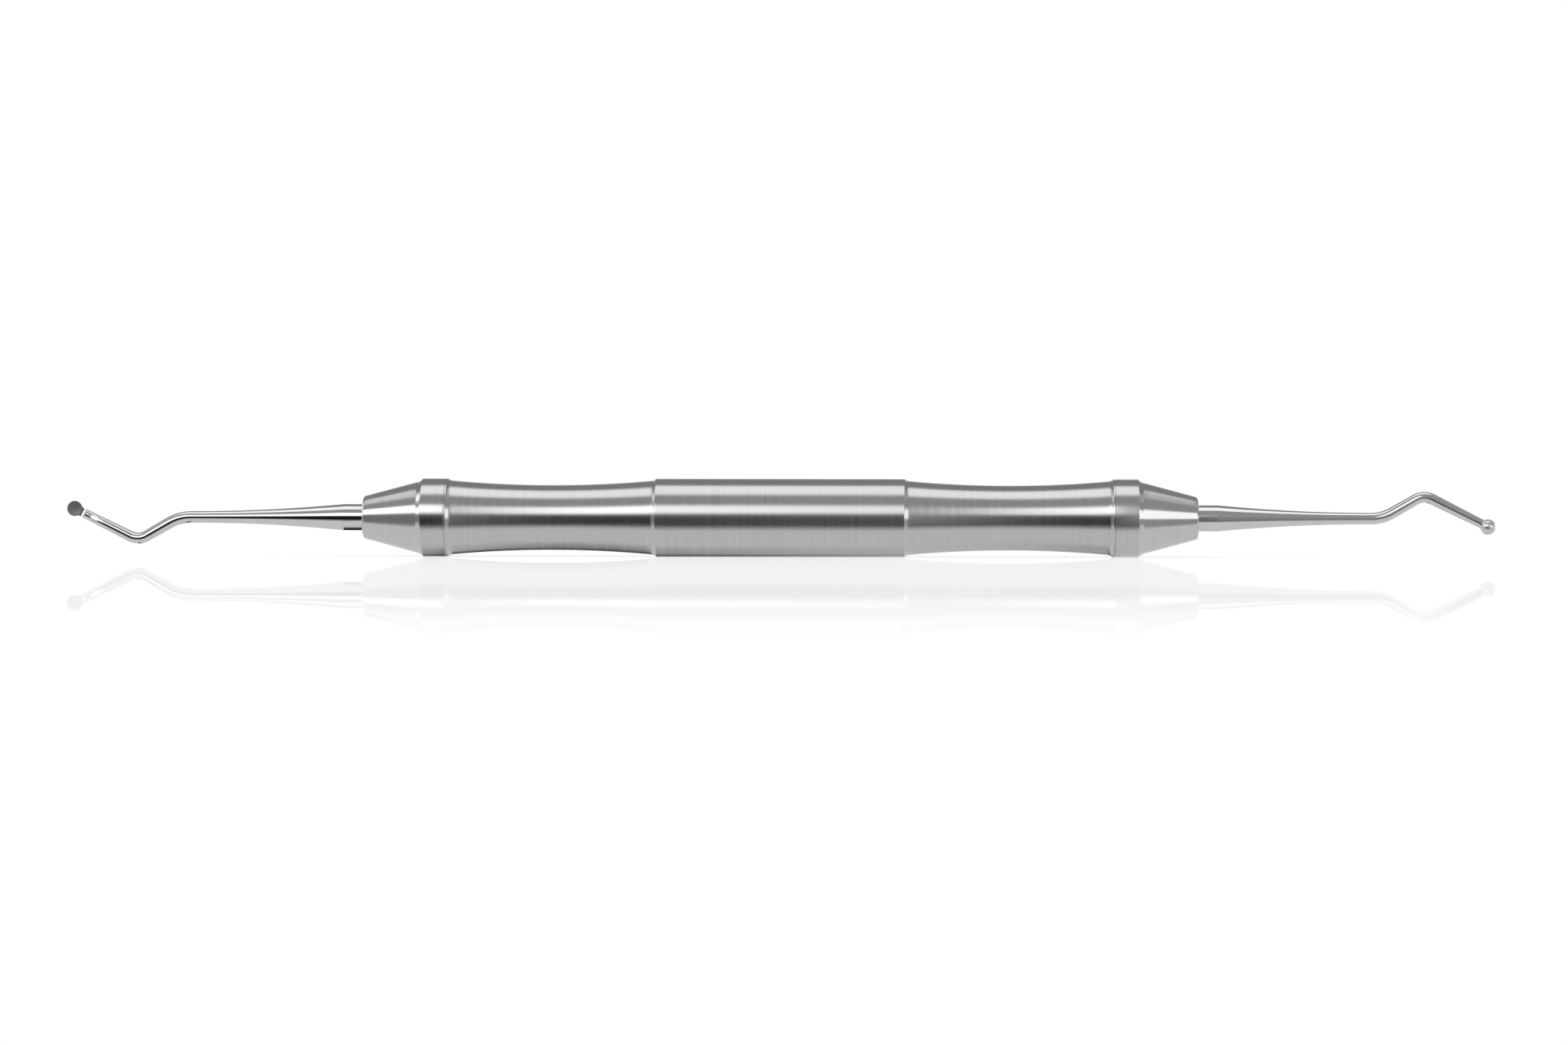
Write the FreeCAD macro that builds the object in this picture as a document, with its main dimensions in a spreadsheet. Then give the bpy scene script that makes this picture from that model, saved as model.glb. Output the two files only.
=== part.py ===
import FreeCAD, Part
import Sketcher
import os
from FreeCAD import Placement, Rotation, Vector

# Double-ended spoon excavator, hand held, in stainless steel. Lengths are in millimetres.
# X runs along the handle, Z is up, and the origin is the centre of the grip band on the handle's axis.
# Each working end bends in the XZ plane, and the two ends are twins of opposite hand.

doc = FreeCAD.newDocument("dental_excavator")
sheet = doc.addObject("Spreadsheet::Sheet", "sizes")

driving_sizes = [
    ("handle_radius", "4.75"),
    ("band_half_length", "15.1"),
    ("shoulder_length", "0.45"),
    ("waist_edge_radius", "4.52"),
    ("waist_radius", "3.95"),
    ("tube_half_length", "40.6"),
    ("end_land_length", "0.2"),
    ("tube_bore_radius", "3.2"),
    ("seam_bevel", "0.05"),
    ("fit_gap", "0.01"),
    ("spigot_length", "5"),
    ("spigot_bevel", "0.3"),
    ("collar_length", "2.85"),
    ("collar_bevel_length", "0.55"),
    ("cone_root_radius", "4.38"),
    ("cone_length", "6.75"),
    ("nose_radius", "2.55"),
    ("nose_edge_bevel", "0.3"),
    ("tang_length", "10"),
    ("shank_root_radius", "1.6"),
    ("shank_root_length", "2.4"),
    ("wire_radius", "0.7"),
    ("elbow_wire_radius", "0.66"),
    ("neck_radius", "0.54"),
    ("bend_reach", "22.4"),
    ("bend_turn", "30"),
    ("bend_radius", "5.3"),
    ("elbow_reach", "5.78"),
    ("elbow_turn", "56.5"),
    ("elbow_radius", "2.2"),
    ("spoon_reach", "8.72"),
    ("spoon_radius", "0.925"),
    ("neck_fillet", "0.4"),
    ("face_height", "0.05"),
    ("rim_width", "0.08"),
    ("dish_depth", "0.13"),
    ("heel_radius", "0.5"),
    ("heel_gap", "0.13"),
    ("wire_flat_depth", "0.03"),
    ("wire_flat_length", "1.3"),
]
for row, (alias, value) in enumerate(driving_sizes, start=1):
    sheet.set(f"A{row}", alias)
    sheet.set(f"B{row}", value)
    sheet.setAlias(f"B{row}", alias)
doc.recompute()

# Lengths that follow from the sizes above
cone_start = "(sizes.spigot_length + sizes.collar_length + sizes.collar_bevel_length)"
nose_end = f"({cone_start} + sizes.cone_length)"
ferrule_place = "(sizes.tube_half_length - sizes.spigot_length)"
nose_place = f"({ferrule_place} + {nose_end})"
shank_length = "(sizes.bend_reach - sizes.bend_radius * tan(sizes.bend_turn / 2))"
final_turn = "(sizes.elbow_turn - sizes.bend_turn)"


def number(text):
    """The value of a spreadsheet expression, in millimetres or degrees."""
    return float(doc.getObject("sizes").evalExpression(text))


def origin_plane(body, role):
    return next(item for item in body.Origin.OriginFeatures if item.Role == role)


def place(item, prop, shift, axis=Vector(0, 0, 1), turn="0"):
    """Set a placement whose shift and turn stay tied to the sizes."""
    spot = Vector(*[number(text) for text in shift])
    setattr(item, prop, Placement(spot, Rotation(axis, number(turn))))
    for letter, text in zip("xyz", shift):
        if text != "0":
            item.setExpression(f"{prop}.Base.{letter}", text)
    if turn != "0":
        item.setExpression(f"{prop}.Rotation.Angle", turn)


def new_sketch(body, name, role, shift=("0", "0", "0"), axis=Vector(0, 0, 1), turn="0"):
    sketch = body.newObject("Sketcher::SketchObject", name)
    sketch.AttachmentSupport = [(origin_plane(body, role), "")]
    sketch.MapMode = "FlatFace"
    place(sketch, "AttachmentOffset", shift, axis, turn)
    return sketch


def dimension(sketch, kind, edge, point, text):
    """Hold a point at its distance from the sketch's origin, or on an axis of the sketch."""
    value = number(text)
    if text == "0":
        axis_line = -2 if kind == "DistanceX" else -1
        sketch.addConstraint(Sketcher.Constraint("PointOnObject", edge, point, axis_line))
    elif value < 0:
        index = sketch.addConstraint(Sketcher.Constraint(kind, edge, point, -1, 1, -value))
        sketch.setExpression(f"Constraints[{index}]", f"-({text})")
    else:
        index = sketch.addConstraint(Sketcher.Constraint(kind, -1, 1, edge, point, value))
        sketch.setExpression(f"Constraints[{index}]", text)


def edge_shape(start, end, arc):
    """A line, or an arc given as its radius and the side, left (1) or right (-1), of its centre."""
    if arc is None:
        return Part.LineSegment(start, end)
    radius, side = number(arc[0]), arc[1]
    along = end - start
    left = Vector(-along.y, along.x, 0).normalize()
    height = (radius ** 2 - (along.Length / 2) ** 2) ** 0.5
    centre = (start + end) / 2 + left * side * height
    first, last = (start, end) if side > 0 else (end, start)
    circle = Part.Circle(centre, Vector(0, 0, 1), radius)
    return Part.ArcOfCircle(circle, circle.parameter(first), circle.parameter(last))


def draw(sketch, corners, arcs=None, closed=True):
    """Join corners, each an x and a y expression, by lines, or by arcs named by their first corner."""
    arcs = arcs or {}
    points = [Vector(number(across), number(up), 0) for across, up in corners]
    count = len(corners) if closed else len(corners) - 1
    ends = []
    for edge in range(count):
        arc = arcs.get(edge)
        sketch.addGeometry(edge_shape(points[edge], points[(edge + 1) % len(points)], arc), False)
        ends.append((2, 1) if arc is not None and arc[1] < 0 else (1, 2))
    for edge in range(count if closed else count - 1):
        following = (edge + 1) % count
        sketch.addConstraint(
            Sketcher.Constraint("Coincident", edge, ends[edge][1], following, ends[following][0]))
    for corner, (across, up) in enumerate(corners):
        edge, point = (corner, ends[corner][0]) if corner < count else (count - 1, ends[-1][1])
        before = corners[corner - 1] if corner > 0 and corner - 1 not in arcs else None
        if before is not None and before[0] == across:
            sketch.addConstraint(Sketcher.Constraint("Vertical", corner - 1))
        else:
            dimension(sketch, "DistanceX", edge, point, across)
        if before is not None and before[1] == up:
            sketch.addConstraint(Sketcher.Constraint("Horizontal", corner - 1))
        else:
            dimension(sketch, "DistanceY", edge, point, up)
    for edge, (radius, side) in arcs.items():
        index = sketch.addConstraint(Sketcher.Constraint("Radius", edge, number(radius)))
        sketch.setExpression(f"Constraints[{index}]", radius)
    doc.recompute()


def draw_circle(sketch, radius, height="0"):
    """A circle centred on the sketch's vertical axis."""
    centre = Vector(0, number(height), 0)
    sketch.addGeometry(Part.Circle(centre, Vector(0, 0, 1), number(radius)), False)
    dimension(sketch, "DistanceX", 0, 3, "0")
    dimension(sketch, "DistanceY", 0, 3, height)
    index = sketch.addConstraint(Sketcher.Constraint("Radius", 0, number(radius)))
    sketch.setExpression(f"Constraints[{index}]", radius)
    doc.recompute()


def turned(body, name, sketch, sweep="360", backwards=False):
    """Revolve a sketch about its own horizontal axis, all the way round or by the sweep given."""
    feature = body.newObject("PartDesign::Revolution", name)
    feature.Profile = sketch
    feature.ReferenceAxis = (sketch, ["H_Axis"])
    feature.Reversed = backwards
    feature.Angle = number(sweep)
    if sweep != "360":
        feature.setExpression("Angle", sweep)
    doc.recompute()
    return feature


def cut_must_remove(feature, before):
    """A pocket or groove that misses the solid is an error."""
    doc.recompute()
    if feature.Shape.Volume > before - 1e-4:
        raise RuntimeError(feature.Name + " removed nothing")


def build_handle_tube():
    """The hollow grip: a plain band at mid length, and a long concave waist on each side of it."""
    body = doc.addObject("PartDesign::Body", "handle_tube")
    waist_start = "(sizes.band_half_length + sizes.shoulder_length)"
    waist_end = "(sizes.tube_half_length - sizes.end_land_length - sizes.shoulder_length)"
    half_chord = f"(({waist_end} - {waist_start}) / 2)"
    sag = "(sizes.waist_edge_radius - sizes.waist_radius)"
    waist_arc = f"(({half_chord} ^ 2 + {sag} ^ 2) / (2 * {sag}))"
    sketch = new_sketch(body, "half_profile", "XY_Plane")
    draw(sketch, [
        ("0", "sizes.tube_bore_radius"),
        ("0", "sizes.handle_radius"),
        ("sizes.band_half_length", "sizes.handle_radius"),
        (waist_start, "sizes.waist_edge_radius"),
        (waist_end, "sizes.waist_edge_radius"),
        ("sizes.tube_half_length - sizes.end_land_length", "sizes.handle_radius"),
        ("sizes.tube_half_length - sizes.seam_bevel", "sizes.handle_radius"),
        ("sizes.tube_half_length", "sizes.handle_radius - sizes.seam_bevel"),
        ("sizes.tube_half_length", "sizes.tube_bore_radius"),
    ], arcs={3: (waist_arc, 1)})
    half = turned(body, "half_tube", sketch)
    whole = body.newObject("PartDesign::Mirrored", "both_halves")
    whole.Originals = [half]
    whole.MirrorPlane = (origin_plane(body, "YZ_Plane"), [""])
    body.Tip = whole
    doc.recompute()
    return body


def build_ferrule(name):
    """The end plug: a spigot inside the tube, a collar flush with it, and a cone bored for the tang."""
    body = doc.addObject("PartDesign::Body", name)
    spigot_radius = "(sizes.tube_bore_radius - sizes.fit_gap)"
    bore_radius = "(sizes.shank_root_radius + sizes.fit_gap)"
    bore_floor = f"({nose_end} - sizes.tang_length)"
    collar_end = "(sizes.spigot_length + sizes.collar_length)"
    sketch = new_sketch(body, "profile", "XY_Plane")
    draw(sketch, [
        ("0", "0"),
        ("0", f"{spigot_radius} - sizes.spigot_bevel"),
        ("sizes.spigot_bevel", spigot_radius),
        ("sizes.spigot_length", spigot_radius),
        ("sizes.spigot_length", "sizes.handle_radius - sizes.seam_bevel"),
        ("sizes.spigot_length + sizes.seam_bevel", "sizes.handle_radius"),
        (collar_end, "sizes.handle_radius"),
        (cone_start, "sizes.cone_root_radius"),
        (nose_end, "sizes.nose_radius"),
        (nose_end, bore_radius),
        (bore_floor, bore_radius),
        (bore_floor, "0"),
    ])
    plug = turned(body, "turned_plug", sketch)
    rim = [f"Edge{index}" for index, edge in enumerate(plug.Shape.Edges, start=1)
           if edge.Closed and abs(edge.Curve.Radius - number("sizes.nose_radius")) < 1e-6]
    edge_break = body.newObject("PartDesign::Chamfer", "nose_edge")
    edge_break.Base = (plug, rim)
    edge_break.Size = number("sizes.nose_edge_bevel")
    edge_break.setExpression("Size", "sizes.nose_edge_bevel")
    doc.recompute()
    return body


def build_tip(name, hand):
    """A working end: tang, tapered shank, contra-angled wire and ball, ground to a spoon on one side.

    It points along +X from the ferrule's face, with its elbow below the axis. The ground face looks
    along +Y where hand is 1, and along -Y where it is -1.
    """
    body = doc.addObject("PartDesign::Body", name)
    face_side, back_side = f"({hand})", f"({-hand})"
    downhill, uphill = Vector(0, 1, 0), Vector(0, -1, 0)

    # Round stock, left at full size where it is held in the ferrule
    tang_outline = new_sketch(body, "tang_outline", "YZ_Plane")
    draw_circle(tang_outline, "sizes.shank_root_radius")
    tang = body.newObject("PartDesign::Pad", "tang")
    tang.Profile = tang_outline
    tang.Length = number("sizes.tang_length")
    tang.setExpression("Length", "sizes.tang_length")
    tang.Reversed = True
    doc.recompute()

    # Shank: a short root, then one long hollow curve that runs out level at the wire's radius
    fall = "(sizes.shank_root_radius - sizes.wire_radius)"
    run = f"({shank_length} - sizes.shank_root_length)"
    shank_arc = f"(({run} ^ 2 + {fall} ^ 2) / (2 * {fall}))"
    shank_outline = new_sketch(body, "shank_outline", "XY_Plane")
    draw(shank_outline, [
        ("0", "0"),
        ("0", "sizes.shank_root_radius"),
        ("sizes.shank_root_length", "sizes.shank_root_radius"),
        (shank_length, "sizes.wire_radius"),
        (shank_length, "0"),
    ], arcs={2: (shank_arc, 1)})
    turned(body, "shank", shank_outline)

    # First bend: the wire's section swung down about an axis one bend radius below it
    bend_section = new_sketch(body, "bend_section", "YZ_Plane", ("0", "-sizes.bend_radius", shank_length))
    draw_circle(bend_section, "sizes.wire_radius", "sizes.bend_radius")
    turned(body, "first_bend", bend_section, "sizes.bend_turn")

    # Straight run down to the elbow, slightly tapered
    bend_pull = "(sizes.bend_radius * tan(sizes.bend_turn / 2))"
    elbow_pull = "(sizes.elbow_radius * tan(sizes.elbow_turn / 2))"
    fall_x, fall_z = "cos(sizes.bend_turn)", "sin(sizes.bend_turn)"
    bend_end = (f"sizes.bend_reach + {bend_pull} * {fall_x}", "0", f"-{bend_pull} * {fall_z}")
    middle_run = f"(sizes.elbow_reach - {bend_pull} - {elbow_pull})"
    middle_outline = new_sketch(body, "middle_outline", "XY_Plane", bend_end, downhill, "sizes.bend_turn")
    draw(middle_outline, [
        ("0", "0"),
        ("0", f"{back_side} * sizes.wire_radius"),
        (middle_run, f"{back_side} * sizes.elbow_wire_radius"),
        (middle_run, "0"),
    ])
    turned(body, "middle_run", middle_outline)

    # Elbow: swung up again, past level, about an axis above the wire
    elbow_x = f"(sizes.bend_reach + sizes.elbow_reach * {fall_x})"
    elbow_z = f"(sizes.elbow_reach * {fall_z})"
    swing_x = f"({elbow_x} - {elbow_pull} * {fall_x} + sizes.elbow_radius * {fall_z})"
    swing_z = f"({elbow_pull} * {fall_z} - {elbow_z} + sizes.elbow_radius * {fall_x})"
    elbow_section = new_sketch(body, "elbow_section", "YZ_Plane", ("0", swing_z, swing_x),
                               Vector(1, 0, 0), "sizes.bend_turn")
    draw_circle(elbow_section, "sizes.elbow_wire_radius", "-sizes.elbow_radius")
    turned(body, "elbow", elbow_section, "sizes.elbow_turn", backwards=True)

    # Last run and ball, turned in one with a small hollow neck between them
    rise_x, rise_z = f"cos{final_turn}", f"sin{final_turn}"
    ball_x = f"({elbow_x} + sizes.spoon_reach * {rise_x})"
    ball_z = f"(sizes.spoon_reach * {rise_z} - {elbow_z})"
    at_ball = ((ball_x, "0", ball_z), uphill, final_turn)
    neck_arc_drop = "(sizes.neck_radius + sizes.neck_fillet)"
    centre_gap = "(sizes.spoon_radius + sizes.neck_fillet)"
    neck_arc_back = f"sqrt({centre_gap} ^ 2 - {neck_arc_drop} ^ 2)"
    touch = f"(sizes.spoon_radius / {centre_gap})"
    last_run = f"(sizes.spoon_reach - {elbow_pull})"
    blank_outline = new_sketch(body, "spoon_blank_outline", "XY_Plane", *at_ball)
    draw(blank_outline, [
        (f"-{last_run}", "0"),
        (f"-{last_run}", f"{back_side} * sizes.elbow_wire_radius"),
        (f"-{neck_arc_back}", f"{back_side} * sizes.neck_radius"),
        (f"-{neck_arc_back} * {touch}", f"{back_side} * {neck_arc_drop} * {touch}"),
        ("sizes.spoon_radius", "0"),
    ], arcs={2: ("sizes.neck_fillet", -hand), 3: ("sizes.spoon_radius", hand)})
    blank = turned(body, "spoon_blank", blank_outline)

    # Face: half the ball ground away, with a hollow heel up to the wire and a narrow flat along it
    level = f"{face_side} * sizes.face_height"
    flat_level = f"{face_side} * (sizes.neck_radius - sizes.wire_flat_depth)"
    clear_level = f"{face_side} * 2 * sizes.spoon_radius"
    heel_rise = "(sizes.neck_radius - sizes.wire_flat_depth - sizes.face_height)"
    heel_back = f"sqrt(sizes.heel_radius ^ 2 - (sizes.heel_radius - {heel_rise}) ^ 2)"
    heel_x = "(sizes.spoon_radius + sizes.heel_gap)"
    grind_outline = new_sketch(body, "grind_outline", "XY_Plane", *at_ball)
    draw(grind_outline, [
        ("2 * sizes.spoon_radius", level),
        (f"-{heel_x}", level),
        (f"-{heel_x} - {heel_back}", flat_level),
        (f"-{heel_x} - {heel_back} - sizes.wire_flat_length", flat_level),
        (f"-{heel_x} - {heel_back} - sizes.wire_flat_length", clear_level),
        ("2 * sizes.spoon_radius", clear_level),
    ], arcs={1: ("sizes.heel_radius", -hand)})
    before = blank.Shape.Volume
    grind = body.newObject("PartDesign::Pocket", "ground_face")
    grind.Profile = grind_outline
    grind.SideType = "Symmetric"
    grind.Length = number("4 * sizes.spoon_radius")
    grind.setExpression("Length", "4 * sizes.spoon_radius")
    cut_must_remove(grind, before)

    # Dish: a shallow hollow in the face, up to a narrow rim
    dish_radius = "(sizes.spoon_radius - sizes.rim_width)"
    dish_arc = f"(({dish_radius} ^ 2 + sizes.dish_depth ^ 2) / (2 * sizes.dish_depth))"
    dish_outline = new_sketch(body, "dish_outline", "XY_Plane", *at_ball)
    draw(dish_outline, [
        ("0", f"{level} - {face_side} * sizes.dish_depth"),
        (dish_radius, level),
        ("0", level),
    ], arcs={0: (dish_arc, hand)})
    before = grind.Shape.Volume
    dish = body.newObject("PartDesign::Groove", "dish")
    dish.Profile = dish_outline
    dish.ReferenceAxis = (dish_outline, ["V_Axis"])
    dish.Angle = 360
    cut_must_remove(dish, before)
    return body


nodes = [
    build_handle_tube(),
    build_ferrule("left_ferrule"),
    build_ferrule("right_ferrule"),
    build_tip("left_tip", 1),
    build_tip("right_tip", -1),
]
handle_tube, left_ferrule, right_ferrule, left_tip, right_tip = nodes

place(left_ferrule, "Placement", (f"-{ferrule_place}", "0", "0"), turn="180")
place(right_ferrule, "Placement", (ferrule_place, "0", "0"))
place(left_tip, "Placement", (f"-{nose_place}", "0", "0"), turn="180")
place(right_tip, "Placement", (nose_place, "0", "0"), Vector(1, 0, 0), "180")
doc.recompute()

for item in doc.Objects:
    if "Invalid" in item.State or "Error" in item.State:
        raise RuntimeError(item.Label + " did not build")
for body in nodes:
    if body.Shape.isNull() or not body.Shape.isValid() or len(body.Shape.Solids) != 1:
        raise RuntimeError(body.Label + " is not one valid solid")

os.makedirs("parts", exist_ok=True)
for body in nodes:
    body.Shape.exportStep(f"parts/{body.Label}.step")
    box = body.Shape.optimalBoundingBox(False, False)
    print(f"{body.Label}: {body.Shape.Volume:.2f} mm3, x {box.XMin:.2f} to {box.XMax:.2f}, "
          f"z {box.ZMin:.2f} to {box.ZMax:.2f}")
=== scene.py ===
import math

import bmesh
import bpy
from mathutils import Matrix, Vector


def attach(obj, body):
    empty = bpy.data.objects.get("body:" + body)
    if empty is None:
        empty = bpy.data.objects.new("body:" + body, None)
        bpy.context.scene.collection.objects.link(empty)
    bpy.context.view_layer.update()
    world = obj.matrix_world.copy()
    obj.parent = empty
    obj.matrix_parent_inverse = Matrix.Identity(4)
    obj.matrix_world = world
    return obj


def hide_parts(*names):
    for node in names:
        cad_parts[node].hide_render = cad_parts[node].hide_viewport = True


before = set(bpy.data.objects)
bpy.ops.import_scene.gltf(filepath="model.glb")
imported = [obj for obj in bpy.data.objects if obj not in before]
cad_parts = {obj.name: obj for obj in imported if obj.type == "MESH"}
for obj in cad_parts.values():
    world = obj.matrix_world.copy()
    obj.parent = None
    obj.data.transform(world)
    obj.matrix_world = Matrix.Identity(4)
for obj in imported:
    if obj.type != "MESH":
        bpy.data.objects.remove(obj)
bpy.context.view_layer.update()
print("frame loaded:", sorted(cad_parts))

mm = 0.001
along = Vector((1, 0, 0))
mergeGap = 1e-7  # metres: points closer than this become one
nearGap = 1e-6  # metres: places closer than this count as the same
poleRadius = 1e-9  # metres: a ring this small is merged into a pole
turnedSharp = 35  # degrees: sharper edges stay crisp on a turned piece
groundSharp = 12  # degrees: the same on a working end

# Camera: level with the handle's axis, a little to the right of its middle, and almost square to it
cameraSizes = {
    "distance": 560 * mm,
    "sideStep": 18 * mm,
    "aimAlong": 13.3 * mm,
    "aimBelow": 0.56 * mm,
    "lens": 105.73,
    "sideShift": -0.0675,
    "roll": math.radians(0.087),
    "clipStart": 5 * mm,
}


def buildCamera(size):
    camera = bpy.data.objects.new("camera", bpy.data.cameras.new("camera"))
    bpy.context.collection.objects.link(camera)
    camera.data.lens = size["lens"]
    camera.data.shift_x = size["sideShift"]
    camera.data.clip_start = size["clipStart"]
    eye = Vector((size["sideStep"], -size["distance"], 0))
    aim = Vector((size["aimAlong"], 0, -size["aimBelow"]))
    look = (aim - eye).to_track_quat("-Z", "Y").to_matrix().to_4x4()
    camera.matrix_world = Matrix.Translation(eye) @ look @ Matrix.Rotation(size["roll"], 4, "Z")
    bpy.context.scene.camera = camera


buildCamera(cameraSizes)
print("camera placed")


# Small tools that several pieces share

# Close a mesh, smooth it between its sharp edges, and make it an object
def finishMesh(bm, name, materials, sharpAngle):
    bmesh.ops.remove_doubles(bm, verts=bm.verts, dist=mergeGap)
    bmesh.ops.recalc_face_normals(bm, faces=bm.faces)
    mesh = bpy.data.meshes.new(name)
    bm.to_mesh(mesh)
    bm.free()
    for material in materials:
        mesh.materials.append(material)
    mesh.shade_smooth()
    mesh.set_sharp_from_angle(angle=math.radians(sharpAngle))
    piece = bpy.data.objects.new(name, mesh)
    bpy.context.collection.objects.link(piece)
    return piece


# Keep broad faces level beside narrow rounded edges
def weightNormals(piece):
    modifier = piece.modifiers.new("weightedNormals", "WEIGHTED_NORMAL")
    modifier.mode = "FACE_AREA"
    modifier.keep_sharp = True


# Cut one mesh out of another for good, then smooth the result again
def carve(piece, cutter, sharpAngle):
    modifier = piece.modifiers.new("carve", "BOOLEAN")
    modifier.operation = "DIFFERENCE"
    modifier.solver = "EXACT"
    modifier.object = cutter
    graph = bpy.context.evaluated_depsgraph_get()
    carved = bpy.data.meshes.new_from_object(piece.evaluated_get(graph))
    piece.modifiers.clear()
    piece.data = carved
    carved.shade_smooth()
    carved.set_sharp_from_angle(angle=math.radians(sharpAngle))
    bpy.data.objects.remove(cutter)


# Turn an open or closed outline, given as (along, radius) points, once round the handle's axis
def spinProfile(points, segments):
    bm = bmesh.new()
    verts = [bm.verts.new((x, 0, r)) for x, r in points]
    edges = [bm.edges.new(pair) for pair in zip(verts, verts[1:])]
    bmesh.ops.spin(bm, geom=verts + edges, cent=(0, 0, 0), axis=along, angle=2 * math.pi,
                   steps=segments, use_merge=True, use_duplicate=False)
    bmesh.ops.remove_doubles(bm, verts=bm.verts, dist=mergeGap)
    return bm


# Round the edge that runs round the axis at this place
def bevelRing(bm, x, radius, width, segments=3):
    ring = [edge for edge in bm.edges
            if all(abs(v.co.x - x) < nearGap and abs(math.hypot(v.co.y, v.co.z) - radius) < nearGap
                   for v in edge.verts)]
    bmesh.ops.bevel(bm, geom=ring, offset=width, affect="EDGES", segments=segments, profile=0.5,
                    material=-1, clamp_overlap=True)


# Lay the map so that U runs along the outline and V round the axis, for the brushing direction.
# Only the direction counts, and U moves with the radius too, so that a level end face has one
wrapScale = 100


def wrapAround(bm):
    layer = bm.loops.layers.uv.new("wrap")
    for face in bm.faces:
        middle = face.calc_center_median()
        side = -1 if middle.x < -nearGap else 1
        middleTurn = math.atan2(middle.z, middle.y)
        for loop in face.loops:
            spot = loop.vert.co
            radius = math.hypot(spot.y, spot.z)
            turn = math.atan2(spot.z, spot.y) if radius > mergeGap else middleTurn
            turn -= 2 * math.pi * round((turn - middleTurn) / (2 * math.pi))
            loop[layer].uv = (wrapScale * (spot.x - side * radius / 2), turn / (2 * math.pi))


# Points on the hollow arc between two (along, radius) points that dips by sag at its middle
def arcPoints(start, end, sag, count):
    half = (end[0] - start[0]) / 2
    bend = (half * half + sag * sag) / (2 * sag)
    middle = (start[0] + end[0]) / 2
    centre = start[1] - sag + bend
    spread = math.asin(half / bend)
    turns = [spread * (2 * step / count - 1) for step in range(count + 1)]
    return [(middle + bend * math.sin(turn), centre - bend * math.cos(turn)) for turn in turns]


# Shader effects

def newGroup(name, inputs, outputs):
    group = bpy.data.node_groups.new(name, "ShaderNodeTree")
    for label, kind, value in inputs:
        socket = group.interface.new_socket(name=label, in_out="INPUT", socket_type=kind)
        socket.default_value = value
    for label, kind in outputs:
        group.interface.new_socket(name=label, in_out="OUTPUT", socket_type=kind)
    return group, group.nodes.new("NodeGroupInput"), group.nodes.new("NodeGroupOutput")


# One maths node. Its values are sockets or numbers
def maths(tree, operation, *values, clamp=False):
    node = tree.nodes.new("ShaderNodeMath")
    node.operation = operation
    node.use_clamp = clamp
    for socket, value in zip(node.inputs, values):
        if isinstance(value, bpy.types.NodeSocket):
            tree.links.new(value, socket)
        else:
            socket.default_value = value
    return node.outputs[0]


# Each layer of lines has its fineness and its detail
brushingSizes = {
    "linesPerMetre": 5000,
    "runPerMetre": 160,
    "layers": ((1.0, 2.0), (0.23, 3.0)),
    "coarseShare": 0.6,
    "noiseRoughness": 0.6,
    "meanHeight": 0.8,
    "contrast": 2.2,
}


# Fine turning lines round the handle's axis: a height, and a shade from about -1 to 1
def buildBrushing(size):
    group, given, result = newGroup(
        "brushing",
        [("Lines per metre", "NodeSocketFloat", size["linesPerMetre"]),
         ("Run per metre", "NodeSocketFloat", size["runPerMetre"])],
        [("Height", "NodeSocketFloat"), ("Shade", "NodeSocketFloat")])
    place = group.nodes.new("ShaderNodeTexCoord")
    parts = group.nodes.new("ShaderNodeSeparateXYZ")
    group.links.new(place.outputs["Object"], parts.inputs[0])
    layers = []
    for fineness, detail in size["layers"]:
        stretched = group.nodes.new("ShaderNodeCombineXYZ")
        lines = maths(group, "MULTIPLY", given.outputs["Lines per metre"], fineness)
        group.links.new(maths(group, "MULTIPLY", parts.outputs["X"], lines), stretched.inputs["X"])
        for letter in "YZ":
            run = maths(group, "MULTIPLY", parts.outputs[letter], given.outputs["Run per metre"])
            group.links.new(run, stretched.inputs[letter])
        noise = group.nodes.new("ShaderNodeTexNoise")
        noise.inputs["Scale"].default_value = 1
        noise.inputs["Detail"].default_value = detail
        noise.inputs["Roughness"].default_value = size["noiseRoughness"]
        group.links.new(stretched.outputs[0], noise.inputs["Vector"])
        layers.append(noise.outputs["Fac"])
    fine, coarse = layers
    height = maths(group, "ADD", fine, maths(group, "MULTIPLY", coarse, size["coarseShare"]))
    group.links.new(height, result.inputs["Height"])
    offset = maths(group, "SUBTRACT", height, size["meanHeight"])
    shade = maths(group, "MULTIPLY", offset, size["contrast"])
    group.links.new(shade, result.inputs["Shade"])
    return group


# A new metal, with its node tree and its shader
def newSteel(name):
    material = bpy.data.materials.new(name)
    material.use_nodes = True
    shader = material.node_tree.nodes["Principled BSDF"]
    shader.inputs["Metallic"].default_value = 1
    return material, material.node_tree, shader


# Base colour from the dark tint to the pale one
def tintBetween(tree, shader, look, weight):
    tint = tree.nodes.new("ShaderNodeMix")
    tint.data_type = "RGBA"
    tint.inputs["A"].default_value = (*look["darkTint"], 1)
    tint.inputs["B"].default_value = (*look["paleTint"], 1)
    tree.links.new(weight, tint.inputs["Factor"])
    tree.links.new(tint.outputs["Result"], shader.inputs["Base Color"])


# Raise fine marks from a height
def raiseMarks(tree, shader, look, height):
    bump = tree.nodes.new("ShaderNodeBump")
    bump.inputs["Strength"].default_value = look["bump"]
    bump.inputs["Distance"].default_value = look["bumpDepth"]
    tree.links.new(height, bump.inputs["Height"])
    tree.links.new(bump.outputs[0], shader.inputs["Normal"])


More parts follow.
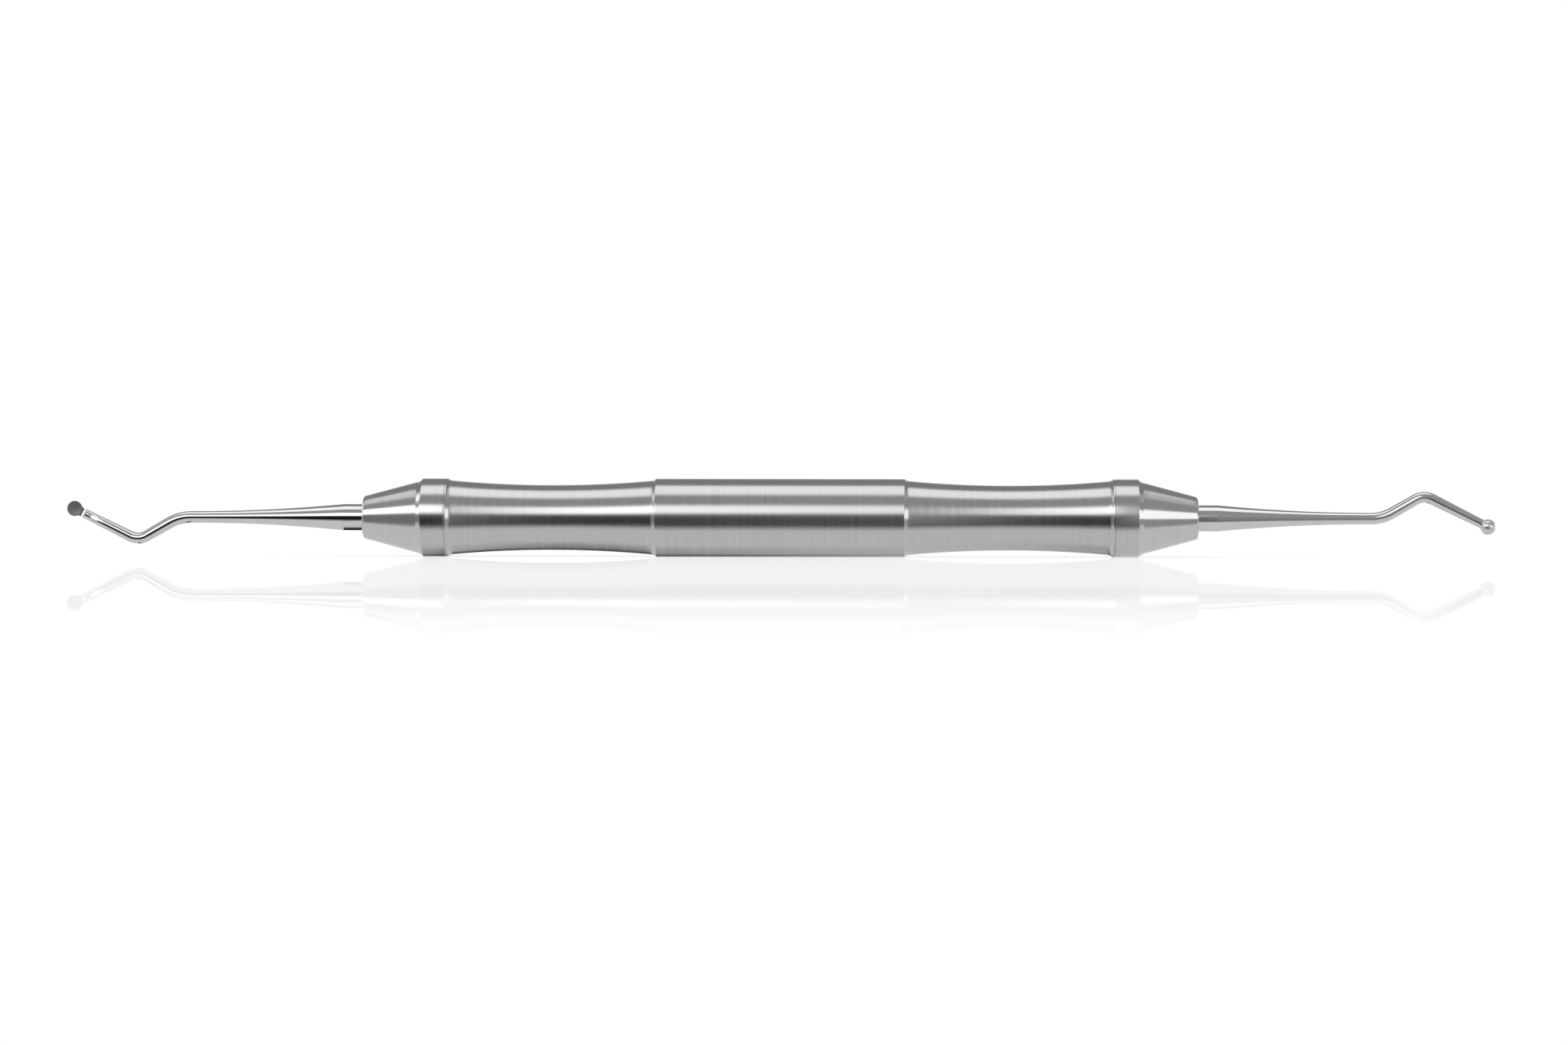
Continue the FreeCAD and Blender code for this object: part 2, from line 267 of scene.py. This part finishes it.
# Turned steel: lines round the axis blur its reflections along the handle
def buildBrushedSteel(name, look):
    material, tree, shader = newSteel(name)
    shader.inputs["Anisotropic"].default_value = look["anisotropy"]
    lines = tree.nodes.new("ShaderNodeGroup")
    lines.node_tree = brushing
    lines.inputs["Lines per metre"].default_value = look["linesPerMetre"]
    lines.inputs["Run per metre"].default_value = look["runPerMetre"]
    tangent = tree.nodes.new("ShaderNodeTangent")
    tangent.direction_type = "UV_MAP"
    tangent.uv_map = "wrap"
    tree.links.new(tangent.outputs[0], shader.inputs["Tangent"])
    shade = lines.outputs["Shade"]
    tintBetween(tree, shader, look, maths(tree, "MULTIPLY_ADD", shade, 0.5, 0.5, clamp=True))
    rough = maths(tree, "MULTIPLY_ADD", shade, look["roughnessSpread"], look["roughness"], clamp=True)
    tree.links.new(rough, shader.inputs["Roughness"])
    raiseMarks(tree, shader, look, lines.outputs["Height"])
    return material


# Noise from 0 to 1 in the piece's own space
def plainNoise(tree, place, scale, detail):
    noise = tree.nodes.new("ShaderNodeTexNoise")
    noise.inputs["Scale"].default_value = scale
    noise.inputs["Detail"].default_value = detail
    tree.links.new(place.outputs["Object"], noise.inputs["Vector"])
    return noise.outputs["Fac"]


polishDetail = {"clouds": 4, "marks": 3}


# Polished or ground steel: clouds make the gloss uneven, and marks are fine scratches and pits
def buildPolishedSteel(name, look):
    material, tree, shader = newSteel(name)
    place = tree.nodes.new("ShaderNodeTexCoord")
    clouds = plainNoise(tree, place, look["cloudsPerMetre"], polishDetail["clouds"])
    tintBetween(tree, shader, look, clouds)
    smoothest = look["roughness"] - look["roughnessSpread"] / 2
    rough = maths(tree, "MULTIPLY_ADD", clouds, look["roughnessSpread"], smoothest, clamp=True)
    tree.links.new(rough, shader.inputs["Roughness"])
    marks = plainNoise(tree, place, look["marksPerMetre"], polishDetail["marks"])
    raiseMarks(tree, shader, look, marks)
    return material


brushing = buildBrushing(brushingSizes)
handleSteel = buildBrushedSteel("handleSteel", {
    "darkTint": (0.565, 0.568, 0.568),
    "paleTint": (0.655, 0.66, 0.662),
    "roughness": 0.235,
    "roughnessSpread": 0.04,
    "anisotropy": 0.6,
    "linesPerMetre": 9000,
    "runPerMetre": 160,
    "bump": 0.07,
    "bumpDepth": 0.004 * mm,
})
coneSteel = buildBrushedSteel("coneSteel", {
    "darkTint": (0.62, 0.623, 0.623),
    "paleTint": (0.69, 0.695, 0.697),
    "roughness": 0.17,
    "roughnessSpread": 0.04,
    "anisotropy": 0.7,
    "linesPerMetre": 7000,
    "runPerMetre": 120,
    "bump": 0.15,
    "bumpDepth": 0.003 * mm,
})
tipSteel = buildPolishedSteel("tipSteel", {
    "darkTint": (0.66, 0.665, 0.67),
    "paleTint": (0.76, 0.76, 0.765),
    "roughness": 0.07,
    "roughnessSpread": 0.02,
    "cloudsPerMetre": 900,
    "marksPerMetre": 9000,
    "bump": 0.05,
    "bumpDepth": 0.002 * mm,
})
# The ground face: a real rough ground finish with fine marks, and painted shade in its tint, which is
# darkened far below steel so that the face comes out dark
groundSteelWithPaintedShade = buildPolishedSteel("groundSteelWithPaintedShade", {
    "darkTint": (0.19, 0.19, 0.192),
    "paleTint": (0.3, 0.3, 0.3),
    "roughness": 0.5,
    "roughnessSpread": 0.1,
    "cloudsPerMetre": 3500,
    "marksPerMetre": 16000,
    "bump": 0.3,
    "bumpDepth": 0.01 * mm,
})
bowlSteel = buildPolishedSteel("bowlSteel", {
    "darkTint": (0.68, 0.685, 0.69),
    "paleTint": (0.78, 0.78, 0.785),
    "roughness": 0.32,
    "roughnessSpread": 0.04,
    "cloudsPerMetre": 2500,
    "marksPerMetre": 12000,
    "bump": 0.1,
    "bumpDepth": 0.003 * mm,
})
print("materials built")


# Handle tube
tubeSizes = {
    "radius": 4.75 * mm,
    "bandHalf": 15.1 * mm,
    "shoulder": 0.33 * mm,
    "waistEdge": 4.52 * mm,
    "waistLow": 3.95 * mm,
    "half": 40.6 * mm,
    "endLand": 0.2 * mm,
    "seamBevel": 0.05 * mm,
    "bore": 3.2 * mm,
    "edgeRound": 0.06 * mm,
    "waistFillet": 0.22 * mm,
    "filletSteps": 6,
    "segments": 256,
    "waistSteps": 48,
}


def buildHandleTube(size):
    waistStart = size["bandHalf"] + size["shoulder"]
    landStart = size["half"] - size["endLand"]
    waistEnd = landStart - size["shoulder"]
    waist = arcPoints((waistStart, size["waistEdge"]), (waistEnd, size["waistEdge"]),
                      size["waistEdge"] - size["waistLow"], size["waistSteps"])
    right = [(size["bandHalf"], size["radius"])] + waist + [
        (landStart, size["radius"]),
        (size["half"] - size["seamBevel"], size["radius"]),
        (size["half"], size["radius"] - size["seamBevel"]),
        (size["half"], size["bore"]),
    ]
    left = [(-x, r) for x, r in reversed(right)]
    bm = spinProfile(left + right + left[:1], size["segments"])
    for side in (-1, 1):
        for x in (size["bandHalf"], landStart):
            bevelRing(bm, side * x, size["radius"], size["edgeRound"])
        for x in (waistStart, waistEnd):
            bevelRing(bm, side * x, size["waistEdge"], size["waistFillet"], size["filletSteps"])
    wrapAround(bm)
    tube = finishMesh(bm, "handleTube", [handleSteel], turnedSharp)
    weightNormals(tube)
    return tube


handleTube = buildHandleTube(tubeSizes)
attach(handleTube, "root")
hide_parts("handle_tube")
print("handle tube turned")


# Ferrules
ferruleSizes = {
    "seat": 40.6 * mm,
    "spigot": 5 * mm,
    "spigotRadius": 3.19 * mm,
    "spigotBevel": 0.3 * mm,
    "collarRadius": 4.75 * mm,
    "seamBevel": 0.05 * mm,
    "collarEnd": 43.45 * mm,
    "coneStart": 44.0 * mm,
    "coneRadius": 4.38 * mm,
    "nose": 50.75 * mm,
    "noseRadius": 2.55 * mm,
    "noseRound": 0.3 * mm,
    "noseSteps": 8,
    "boreRadius": 1.61 * mm,
    "boreFloor": 40.75 * mm,
    "edgeRound": 0.05 * mm,
    "coneSteps": 8,
    "segments": 256,
}


# The plug at one end. Side is -1 for the left end and 1 for the right
def buildFerrule(name, side, size):
    run = size["nose"] - size["coneStart"]
    slope = (size["noseRadius"] - size["coneRadius"]) / run
    outline = [
        (size["seat"] - size["spigot"], 0),
        (size["seat"] - size["spigot"], size["spigotRadius"] - size["spigotBevel"]),
        (size["seat"] - size["spigot"] + size["spigotBevel"], size["spigotRadius"]),
        (size["seat"], size["spigotRadius"]),
        (size["seat"], size["collarRadius"] - size["seamBevel"]),
        (size["seat"] + size["seamBevel"], size["collarRadius"]),
        (size["collarEnd"], size["collarRadius"]),
        (size["coneStart"], size["coneRadius"]),
    ]
    for step in range(1, size["coneSteps"] + 1):
        place = run * step / size["coneSteps"]
        outline.append((size["coneStart"] + place, size["coneRadius"] + slope * place))
    outline += [
        (size["nose"], size["boreRadius"]),
        (size["boreFloor"], size["boreRadius"]),
        (size["boreFloor"], 0),
    ]
    bm = spinProfile([(side * x, r) for x, r in outline], size["segments"])
    bevelRing(bm, side * size["nose"], size["noseRadius"], size["noseRound"], size["noseSteps"])
    for x, radius in ((size["collarEnd"], size["collarRadius"]), (size["coneStart"], size["coneRadius"]),
                      (size["nose"], size["boreRadius"])):
        bevelRing(bm, side * x, radius, size["edgeRound"])
    wrapAround(bm)
    for face in bm.faces:
        onCone = abs(face.calc_center_median().x) > size["collarEnd"] - size["edgeRound"]
        face.material_index = 1 if onCone else 0
    ferrule = finishMesh(bm, name, [handleSteel, coneSteel], turnedSharp)
    weightNormals(ferrule)
    return ferrule


for name, side, node in (("leftFerrule", -1, "left_ferrule"), ("rightFerrule", 1, "right_ferrule")):
    ferrule = buildFerrule(name, side, ferruleSizes)
    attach(ferrule, "root")
    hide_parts(node)
print("ferrules turned")


# Working ends, drawn pointing along +X with the elbow down, then turned to their own side
tipSizes = {
    "nose": 50.75 * mm,
    "tang": 10 * mm,
    "rootRadius": 1.6 * mm,
    "rootLength": 2.4 * mm,
    "wireRadius": 0.7 * mm,
    "elbowWireRadius": 0.66 * mm,
    "neckRadius": 0.54 * mm,
    "bendReach": 22.4 * mm,
    "bendTurn": math.radians(30),
    "bendRadius": 5.3 * mm,
    "elbowReach": 5.78 * mm,
    "elbowTurn": math.radians(56.5),
    "elbowRadius": 2.2 * mm,
    "spoonReach": 8.72 * mm,
    "spoonRadius": 0.924 * mm,
    "neckFillet": 0.4 * mm,
    "bowlMargin": 0.1 * mm,
    "faceHeight": 0.05 * mm,
    "rimWidth": 0.08 * mm,
    "dishDepth": 0.13 * mm,
    "heelRadius": 0.57 * mm,
    "heelGap": 0.04 * mm,
    "heelTurn": math.radians(88),
    "flatLow": 0.535 * mm,
    "flatMiddle": 2.55 * mm,
    "flatReach": 1.3 * mm,
    "flatWheel": 8 * mm,
    "flatTilt": math.radians(10),
    "flatSteps": 24,
    "heelSteps": 24,
    "dishSteps": 16,
    "segments": 96,
    "creaseRound": 0.12 * mm,
    "shankSteps": 60,
    "bendSteps": 14,
    "elbowSteps": 28,
    "runSteps": 6,
    "filletSteps": 8,
    "ballSteps": 28,
}


# A ring of wire that is drawn out, tapered and swung round bends to leave a tube behind it
class ringWalk:
    def __init__(self, bm, start, radius, segments):
        self.bm = bm
        self.centre = Vector(start)
        self.heading = Vector((1, 0, 0))
        self.radius = radius
        upright = Matrix.Translation(start) @ Matrix.Rotation(math.pi / 2, 4, "Y")
        made = bmesh.ops.create_circle(bm, cap_ends=True, radius=radius, segments=segments,
                                       matrix=upright)
        self.verts = made["verts"]
        self.edges = list({edge for vert in self.verts for edge in vert.link_edges})

    # Go on with the ring that an operator has made
    def take(self, geom):
        self.verts = [item for item in geom if isinstance(item, bmesh.types.BMVert)]
        self.edges = [item for item in geom if isinstance(item, bmesh.types.BMEdge)]

    # Draw the ring forward by this step, and end at this radius
    def draw(self, step, radius):
        self.take(bmesh.ops.extrude_edge_only(self.bm, edges=self.edges)["geom"])
        self.centre = self.centre + self.heading * step
        bmesh.ops.translate(self.bm, verts=self.verts, vec=self.heading * step)
        factor = radius / self.radius
        bmesh.ops.scale(self.bm, verts=self.verts, vec=(factor, factor, factor),
                        space=Matrix.Translation(-self.centre))
        self.radius = radius

    # Swing about an axis through hub that runs along +Y. A positive turn brings the nose down
    def swing(self, hub, turn, steps):
        made = bmesh.ops.spin(self.bm, geom=self.verts + self.edges, cent=hub, axis=(0, 1, 0),
                              angle=turn, steps=steps, use_merge=False, use_duplicate=False)
        self.take(made["geom_last"])
        spun = Matrix.Rotation(turn, 3, "Y")
        self.centre = hub + spun @ (self.centre - hub)
        self.heading = spun @ self.heading


# Tang, shank, both bends and the ball. Returns the ball's centre and the last run's heading
def drawTipBlank(bm, size):
    walk = ringWalk(bm, (-size["tang"], 0, 0), size["rootRadius"], size["segments"])
    walk.draw(size["tang"], size["rootRadius"])
    walk.draw(size["rootLength"] - size["creaseRound"], size["rootRadius"])
    walk.draw(size["creaseRound"], size["rootRadius"])
    bendPull = size["bendRadius"] * math.tan(size["bendTurn"] / 2)
    elbowPull = size["elbowRadius"] * math.tan(size["elbowTurn"] / 2)
    run = size["bendReach"] - bendPull - size["rootLength"]
    fall = size["rootRadius"] - size["wireRadius"]
    hollow = (run * run + fall * fall) / (2 * fall)
    stations = [size["creaseRound"]]
    stations += [run * step / size["shankSteps"] for step in range(1, size["shankSteps"] + 1)]
    for here, place in zip([0] + stations, stations):
        left = run - place
        walk.draw(place - here, size["wireRadius"] + hollow - math.sqrt(hollow * hollow - left * left))
    down = Vector((0, 0, -1))
    walk.swing(walk.centre + down * size["bendRadius"], size["bendTurn"], size["bendSteps"])
    middleRun = size["elbowReach"] - bendPull - elbowPull
    for step in range(1, size["runSteps"] + 1):
        share = step / size["runSteps"]
        walk.draw(middleRun / size["runSteps"],
                  size["wireRadius"] + (size["elbowWireRadius"] - size["wireRadius"]) * share)
    above = Vector((0, -1, 0)).cross(walk.heading)
    walk.swing(walk.centre + above * size["elbowRadius"], -size["elbowTurn"], size["elbowSteps"])
    ballCentre = walk.centre + walk.heading * (size["spoonReach"] - elbowPull)
    neckDrop = size["neckRadius"] + size["neckFillet"]
    reach = size["spoonRadius"] + size["neckFillet"]
    neckBack = math.sqrt(reach * reach - neckDrop * neckDrop)
    straight = size["spoonReach"] - elbowPull - neckBack
    for step in range(1, size["runSteps"] + 1):
        share = step / size["runSteps"]
        walk.draw(straight / size["runSteps"],
                  size["elbowWireRadius"] + (size["neckRadius"] - size["elbowWireRadius"]) * share)
    filletEnd = math.atan2(neckBack, neckDrop)
    here = 0
    for step in range(1, size["filletSteps"] + 1):
        turn = filletEnd * step / size["filletSteps"]
        place = size["neckFillet"] * math.sin(turn)
        walk.draw(place - here, neckDrop - size["neckFillet"] * math.cos(turn))
        here = place
    ballStart = math.pi / 2 + filletEnd
    here = size["spoonRadius"] * math.cos(ballStart)
    for step in range(1, size["ballSteps"] + 1):
        turn = ballStart * (1 - step / size["ballSteps"])
        place = size["spoonRadius"] * math.cos(turn)
        walk.draw(place - here, max(size["spoonRadius"] * math.sin(turn), poleRadius))
        here = place
    return ballCentre, walk.heading


# A flat outline, given as (along, outward) points, swept to this width on both sides
def sweepOutline(outline, width):
    bm = bmesh.new()
    verts = [bm.verts.new((x, y, -width)) for x, y in outline]
    face = bm.faces.new(verts)
    swept = bmesh.ops.extrude_face_region(bm, geom=[face])["geom"]
    top = [item for item in swept if isinstance(item, bmesh.types.BMVert)]
    bmesh.ops.translate(bm, verts=top, vec=(0, 0, 2 * width))
    return bm


# A large wheel that leaves a narrow flat on the wire, turned a little upward
def buildFlatCutter(size, toBall, upward):
    spread = math.asin(size["flatReach"] / size["flatWheel"])
    outline = []
    for step in range(size["flatSteps"] + 1):
        turn = spread * (1 - 2 * step / size["flatSteps"])
        outline.append((size["flatWheel"] * math.sin(turn) - size["flatMiddle"],
                        size["flatLow"] + size["flatWheel"] * (1 - math.cos(turn))))
    clear = 2 * size["neckRadius"]  # well outside the wire
    outline += [(outline[-1][0], clear), (outline[0][0], clear)]
    bm = sweepOutline(outline, size["neckRadius"])
    tilt = Matrix.Rotation(upward * size["flatTilt"], 4, "X")
    bmesh.ops.transform(bm, matrix=toBall @ tilt, verts=bm.verts)
    return finishMesh(bm, "flatCutter", [tipSteel, groundSteelWithPaintedShade], groundSharp)


# The wheel's path over the ball: a level face, and a hollow heel behind it up to the wire
def buildGrindCutter(size, toBall):
    heelX = size["spoonRadius"] + size["heelGap"]
    hub = size["faceHeight"] + size["heelRadius"]
    clear = 2 * size["spoonRadius"]  # well outside the ball
    outline = [(clear, size["faceHeight"])]
    for step in range(size["heelSteps"] + 1):
        turn = size["heelTurn"] * step / size["heelSteps"]
        outline.append((-heelX - size["heelRadius"] * math.sin(turn),
                        hub - size["heelRadius"] * math.cos(turn)))
    outline += [(outline[-1][0], clear), (clear, clear)]
    bm = sweepOutline(outline, clear)
    for side in bm.faces:
        middle = side.calc_center_median()
        level = abs(middle.y - size["faceHeight"]) < nearGap
        side.material_index = 1 if level else 0
    bmesh.ops.transform(bm, matrix=toBall, verts=bm.verts)
    return finishMesh(bm, "grindCutter", [tipSteel, groundSteelWithPaintedShade], groundSharp)


# A shallow cap turned about the face's own axis
def buildDishCutter(size, toBall):
    reach = size["spoonRadius"] - size["rimWidth"]
    depth = size["dishDepth"]
    hollow = (reach * reach + depth * depth) / (2 * depth)
    spread = math.asin(reach / hollow)
    bottom = size["faceHeight"] - depth
    outline = []
    for step in range(size["dishSteps"] + 1):
        turn = spread * step / size["dishSteps"]
        outline.append((hollow * math.sin(turn), bottom + hollow * (1 - math.cos(turn))))
    clear = bottom + 3 * depth  # well above the face
    outline += [(reach, clear), (0, clear)]
    bm = bmesh.new()
    verts = [bm.verts.new((r, y, 0)) for r, y in outline]
    edges = [bm.edges.new(pair) for pair in zip(verts, verts[1:])]
    bmesh.ops.spin(bm, geom=verts + edges, cent=(0, 0, 0), axis=(0, 1, 0), angle=2 * math.pi,
                   steps=size["segments"], use_merge=True, use_duplicate=False)
    for side in bm.faces:
        side.material_index = 1
    bmesh.ops.transform(bm, matrix=toBall, verts=bm.verts)
    return finishMesh(bm, "dishCutter", [tipSteel, groundSteelWithPaintedShade], groundSharp)


# The ground face looks along +Y where hand is 1, before the tip is placed
def buildTip(name, hand, placement, size):
    bm = bmesh.new()
    ballCentre, heading = drawTipBlank(bm, size)
    sideways = Vector((0, hand, 0))
    axes = Matrix((heading, sideways, heading.cross(sideways))).transposed()
    toBall = Matrix.Translation(ballCentre) @ axes.to_4x4()
    bmesh.ops.transform(bm, matrix=placement, verts=bm.verts)
    for face in bm.faces:
        reach = (face.calc_center_median() - placement @ ballCentre).length
        face.material_index = 2 if reach < size["spoonRadius"] + size["bowlMargin"] else 0
    tip = finishMesh(bm, name, [tipSteel, groundSteelWithPaintedShade, bowlSteel], groundSharp)
    carve(tip, buildGrindCutter(size, placement @ toBall), groundSharp)
    carve(tip, buildFlatCutter(size, placement @ toBall, hand), groundSharp)
    carve(tip, buildDishCutter(size, placement @ toBall), groundSharp)
    return tip


toLeft = Matrix.Translation((-tipSizes["nose"], 0, 0)) @ Matrix.Rotation(math.pi, 4, "Z")
toRight = Matrix.Translation((tipSizes["nose"], 0, 0)) @ Matrix.Rotation(math.pi, 4, "X")
for name, hand, placement, node in (("leftTip", 1, toLeft, "left_tip"),
                                    ("rightTip", -1, toRight, "right_tip")):
    tip = buildTip(name, hand, placement, tipSizes)
    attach(tip, "root")
    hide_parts(node)
print("working ends carved")


# Floor: white, level with the underside of the handle, with a faint gloss at a grazing view.
# The gloss is full up to glossFull above the floor and gone at glossGone
floorSizes = {
    "level": -4.75 * mm,
    "radius": 3.0,
    "segments": 96,
    "paper": 0.9,
    "gloss": 0.19,
    "glossRoughness": 0.006,
    "glossFull": math.radians(0.8),
    "glossGone": math.radians(1.6),
    "glow": 0.407,
}


def buildFloor(size):
    bm = bmesh.new()
    bmesh.ops.create_circle(bm, cap_ends=True, radius=size["radius"], segments=size["segments"],
                            matrix=Matrix.Translation((0, 0, size["level"])))
    material = bpy.data.materials.new("floorWhite")
    material.use_nodes = True
    tree = material.node_tree
    tree.nodes.clear()
    paper = tree.nodes.new("ShaderNodeBsdfDiffuse")
    paper.inputs["Color"].default_value = (size["paper"],) * 3 + (1,)
    glow = tree.nodes.new("ShaderNodeEmission")
    rays = tree.nodes.new("ShaderNodeLightPath")
    tree.links.new(maths(tree, "MULTIPLY", rays.outputs["Is Camera Ray"], size["glow"]),
                   glow.inputs["Strength"])
    lit = tree.nodes.new("ShaderNodeAddShader")
    tree.links.new(paper.outputs[0], lit.inputs[0])
    tree.links.new(glow.outputs[0], lit.inputs[1])
    gloss = tree.nodes.new("ShaderNodeBsdfGlossy")
    gloss.inputs["Color"].default_value = (1, 1, 1, 1)
    gloss.inputs["Roughness"].default_value = size["glossRoughness"]
    mix = tree.nodes.new("ShaderNodeMixShader")
    slant = tree.nodes.new("ShaderNodeLayerWeight")
    fade = tree.nodes.new("ShaderNodeMapRange")
    fade.interpolation_type = "SMOOTHSTEP"
    fade.inputs["From Min"].default_value = 1 - math.sin(size["glossGone"])
    fade.inputs["From Max"].default_value = 1 - math.sin(size["glossFull"])
    fade.inputs["To Max"].default_value = size["gloss"]
    tree.links.new(slant.outputs["Facing"], fade.inputs["Value"])
    tree.links.new(fade.outputs["Result"], mix.inputs[0])
    tree.links.new(lit.outputs[0], mix.inputs[1])
    tree.links.new(gloss.outputs[0], mix.inputs[2])
    out = tree.nodes.new("ShaderNodeOutputMaterial")
    tree.links.new(mix.outputs[0], out.inputs["Surface"])
    floor = finishMesh(bm, "floor", [material], turnedSharp)
    floor.visible_glossy = False
    return floor


floor = buildFloor(floorSizes)
print("floor laid")


# Studio. Each light or flag covers a span of turn about the handle's axis, in degrees: 0 looks back to
# the camera, 90 up, 180 away behind the handle, -90 down. It also covers a span from side to side, from
# -1 on the left to 1 on the right, and the later ones lie over the earlier ones. A span's edges are
# soft by one number, or by a pair for its first and second edge.
studioLights = [
    {"is": "dark room above and behind", "turn": (111, 160), "soft": 5, "side": (-2, 2), "glow": 0.27},
    {"is": "ceiling, wide", "turn": (72, 108), "soft": 6, "side": (-2, 2), "glow": 0.7},
    {"is": "ceiling, right", "turn": (72, 108), "soft": 6, "side": (0.36, 2), "sideSoft": 0.08,
     "glow": 0.48},
    {"is": "ceiling soft box", "turn": (72, 108), "soft": 6, "side": (-0.42, 0.34), "sideSoft": 0.12,
     "glow": 1.25},
    {"is": "table", "turn": (-178, -34), "soft": 7, "side": (-2, 2), "glow": 0.71},
    {"is": "gloom under the back", "turn": (-175, -138), "soft": 10, "side": (-0.148, -0.014),
     "sideSoft": (0.014, 0.04), "glow": 0.01},
    {"is": "gloom under the left", "turn": (-175, -103), "soft": 18, "side": (-0.148, -0.06),
     "sideSoft": (0.014, 0.03), "glow": 0.02},
    {"is": "dim room on the right", "turn": (-26, 10), "soft": (9, 4), "side": (0.043, 0.42),
     "glow": 0.28},
    {"is": "black flag, far left", "turn": (-26, 7), "soft": (9, 4), "side": (-2, 0.05), "glow": 0.22},
    {"is": "black flag", "turn": (-25.5, 7), "soft": (9, 4), "side": (-0.45, 0.056), "sideSoft": 0.003,
     "glow": 0.01},
    {"is": "table's far edge", "turn": (-25, -20), "soft": 2, "side": (0.056, 0.3), "sideSoft": 0.003,
     "glow": 0.1},
    {"is": "front soft box, dimmer end", "turn": (13, 35), "soft": (4, 5), "side": (-2, 0.043),
     "glow": 1.4},
    {"is": "front soft box", "turn": (13, 35), "soft": (4, 5), "side": (-2, -0.043), "sideSoft": 0.057,
     "glow": 1.95},
    {"is": "right window", "turn": (-3, 25), "soft": 4, "side": (0.4, 1.2), "sideSoft": 0.06,
     "glow": 1.5},
    {"is": "left window", "turn": (70, 150), "soft": 6, "side": (-1.2, -0.75), "sideSoft": 0.05,
     "glow": 1.5},
    {"is": "pale wall behind", "turn": (160, 190), "soft": 5, "side": (-2, 2), "glow": 1.0},
    {"is": "pale wall behind, below", "turn": (-190, -171), "soft": 3, "side": (-2, 2), "glow": 1.0},
]
studioSizes = {"tone": 0.35, "sideSoft": 0.014, "curve": 0.9}


# 1 inside the span, 0 outside it, with smooth edges
def between(tree, value, span, soft):
    sides = []
    softness = soft if isinstance(soft, tuple) else (soft, soft)
    for edge, way, ease in zip(span, (1, -1), softness):
        ramp = tree.nodes.new("ShaderNodeMapRange")
        ramp.interpolation_type = "SMOOTHSTEP"
        ramp.inputs["From Min"].default_value = edge - way * ease
        ramp.inputs["From Max"].default_value = edge + way * ease
        tree.links.new(value, ramp.inputs["Value"])
        sides.append(ramp.outputs["Result"])
    return maths(tree, "MULTIPLY", *sides)


# The lights are seen in reflections and light the floor, and the camera itself sees white
def buildStudio(lights, size):
    world = bpy.data.worlds.new("studio")
    world.use_nodes = True
    bpy.context.scene.world = world
    tree = world.node_tree
    tree.nodes.clear()
    place = tree.nodes.new("ShaderNodeTexCoord")
    parts = tree.nodes.new("ShaderNodeSeparateXYZ")
    tree.links.new(place.outputs["Generated"], parts.inputs[0])
    x, y, z = parts.outputs
    above = maths(tree, "GREATER_THAN", z, 0.0)
    curve = maths(tree, "MULTIPLY", above, size["curve"])
    bow = maths(tree, "MULTIPLY", maths(tree, "MULTIPLY", x, x), curve)
    ahead = maths(tree, "MULTIPLY", maths(tree, "MULTIPLY", y, -1.0), maths(tree, "ADD", bow, 1.0))
    turn = maths(tree, "MULTIPLY", maths(tree, "ARCTAN2", z, ahead), 180 / math.pi)
    glow = None
    for light in lights:
        mask = maths(tree, "MULTIPLY", between(tree, turn, light["turn"], light["soft"]),
                     between(tree, x, light["side"], light.get("sideSoft", size["sideSoft"])))
        layer = tree.nodes.new("ShaderNodeMix")
        layer.data_type = "FLOAT"
        layer.inputs["A"].default_value = size["tone"]
        layer.inputs["B"].default_value = light["glow"]
        tree.links.new(mask, layer.inputs["Factor"])
        if glow is not None:
            tree.links.new(glow, layer.inputs["A"])
        glow = layer.outputs["Result"]
    rays = tree.nodes.new("ShaderNodeLightPath")
    seen = tree.nodes.new("ShaderNodeMix")
    seen.data_type = "FLOAT"
    seen.inputs["B"].default_value = 1.0
    tree.links.new(rays.outputs["Is Camera Ray"], seen.inputs["Factor"])
    tree.links.new(glow, seen.inputs["A"])
    background = tree.nodes.new("ShaderNodeBackground")
    tree.links.new(seen.outputs["Result"], background.inputs["Strength"])
    background.inputs["Color"].default_value = (1, 1, 1, 1)
    out = tree.nodes.new("ShaderNodeOutputWorld")
    tree.links.new(background.outputs[0], out.inputs["Surface"])


buildStudio(studioLights, studioSizes)
bpy.context.scene.view_settings.view_transform = "Standard"
print("studio lit")
